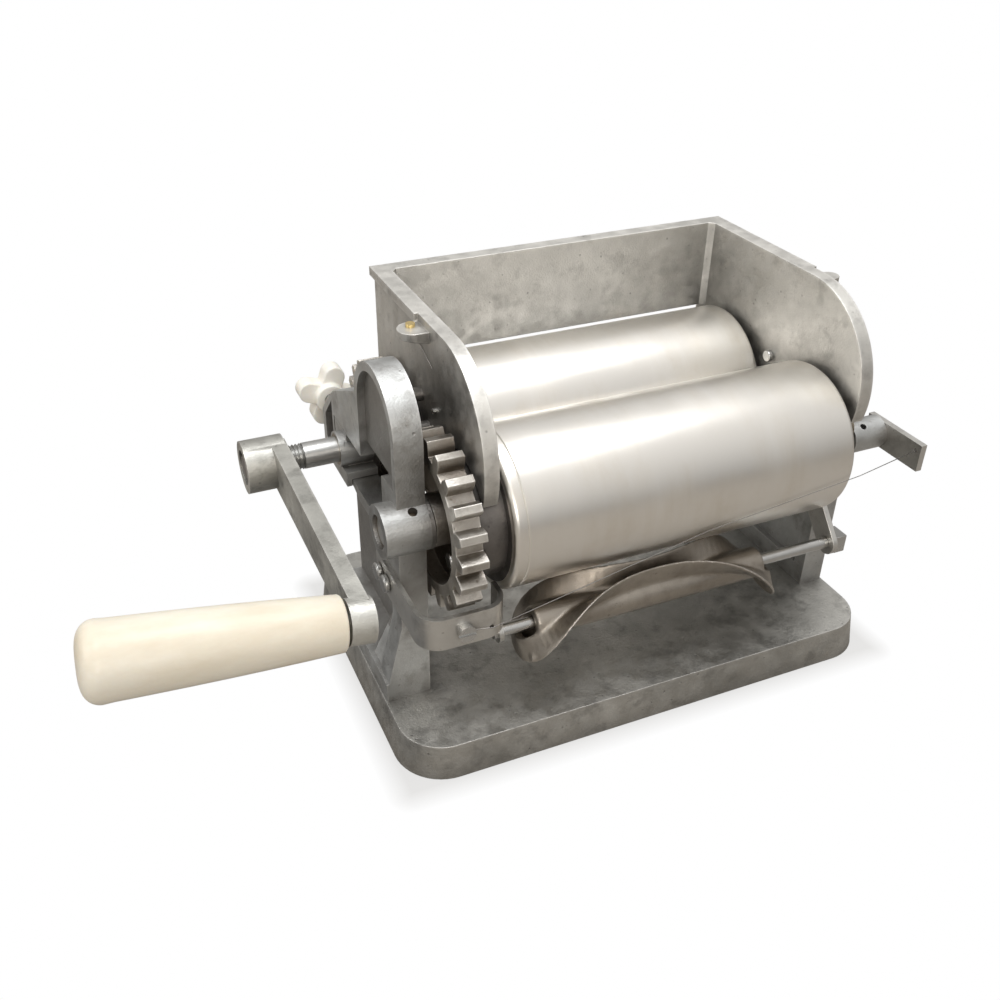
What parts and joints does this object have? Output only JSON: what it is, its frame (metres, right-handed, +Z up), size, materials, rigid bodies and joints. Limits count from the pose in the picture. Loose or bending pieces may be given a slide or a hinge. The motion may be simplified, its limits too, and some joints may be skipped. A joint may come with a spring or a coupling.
{
  "type": "hand crank tortilla press",
  "caption": "Hand cranked roller machine that squeezes dough between rollers and cuts it with a drum knife, on a flat cast base.",
  "frame": {"origin": "middle of the base's underside, on the table", "axes": "+X along the rollers away from the crank, +Y to the back of the hopper, +Z up"},
  "size_m": [0.4744, 0.234, 0.222],
  "materials": {
    "casting": "sand cast, light grey",
    "hopper_casting": "sand cast, light grey",
    "base_casting": "cast, dark grey",
    "roller_metal": "turned and polished",
    "dark_steel": "dark, dull",
    "gear_metal": "cast, cut teeth",
    "crank_casting": "cast and ground",
    "cream_plastic": "glossy cream",
    "cutter_casting": "cast, warm grey",
    "strap_steel": "rolled, dull",
    "bronze": "oiled bronze",
    "brass": "bright brass",
    "bright_steel": "bright zinc or polished"
  },
  "bodies": {
    "frame": {"base_plate": "base_casting", "left_frame": "casting", "right_frame": "casting", "hopper": "hopper_casting", "front_bushes": "bronze", "cutter_rod": "bright_steel", "cutter_nut": "bright_steel", "cutter_strap": "strap_steel", "cutter_hanger": "strap_steel", "strap_screws": "bright_steel", "hanger_screws": "bright_steel", "wire_screw": "bright_steel", "wire_arm": "dark_steel", "wire_arm_screw": "bright_steel", "stripper_wire": "bright_steel", "hopper_screws": "bright_steel", "frame_bolts": "bright_steel", "brass_screws": "brass", "ear_wire": "bright_steel"},
    "rear_carriage": {"bearing_block_left": "casting", "bearing_block_right": "casting", "rear_bushes": "bronze"},
    "knob_left": {"adjust_screw_left": "bright_steel", "adjust_knob_left": "cream_plastic"},
    "knob_right": {"adjust_screw_right": "bright_steel", "adjust_knob_right": "cream_plastic"},
    "rear_roller_set": {"rear_roller": "roller_metal", "rear_roller_heads": "dark_steel", "rear_shaft": "bright_steel", "rear_gear": "gear_metal", "rear_gear_screws": "bright_steel", "crank_arm": "crank_casting", "crank_nut": "dark_steel", "handle_pin": "bright_steel"},
    "grip": {"handle_grip": "cream_plastic"},
    "front_roller_set": {"front_roller": "roller_metal", "front_roller_heads": "dark_steel", "front_shaft": "bright_steel", "front_gear": "gear_metal", "front_gear_screws": "bright_steel"},
    "cutter": {"cutter_drum": "cutter_casting", "cutter_knife": "cutter_casting"}
  },
  "joints": [
    {"name": "rear_carriage_slide", "type": "slide", "parent": "frame", "child": "rear_carriage", "axis": [0, 1, 0], "range_m": [0, 0.0015]},
    {"name": "knob_left_turn", "type": "hinge", "parent": "rear_carriage", "child": "knob_left", "pos_m": [-0.12995, 0.1007, 0.1385], "axis": [0, 1, 0], "range_deg": [0, 433]},
    {"name": "knob_right_turn", "type": "hinge", "parent": "rear_carriage", "child": "knob_right", "pos_m": [0.14005, 0.1007, 0.1385], "axis": [0, 1, 0], "range_deg": [0, 433]},
    {"name": "rear_roller_spin", "type": "hinge", "parent": "rear_carriage", "child": "rear_roller_set", "pos_m": [0.01325, 0.0444, 0.1325], "axis": [1, 0, 0], "continuous": true},
    {"name": "grip_spin", "type": "hinge", "parent": "rear_roller_set", "child": "grip", "pos_m": [-0.17675, -0.1076, 0.1325], "axis": [0.9925, 0, -0.1219], "continuous": true},
    {"name": "front_roller_spin", "type": "hinge", "parent": "frame", "child": "front_roller_set", "pos_m": [0.01325, -0.0444, 0.1325], "axis": [1, 0, 0], "continuous": true},
    {"name": "cutter_spin", "type": "hinge", "parent": "frame", "child": "cutter", "pos_m": [0.01325, -0.07534, 0.07431], "axis": [1, 0, 0], "continuous": true}
  ],
  "couplings": [
    {"joint": "knob_left_turn", "follows": "rear_carriage_slide", "rad_per_m": 5026.5},
    {"joint": "knob_right_turn", "follows": "rear_carriage_slide", "rad_per_m": 5026.5},
    {"joint": "front_roller_spin", "follows": "rear_roller_spin", "ratio": -1},
    {"joint": "cutter_spin", "follows": "rear_roller_spin", "ratio": 2.037}
  ]
}
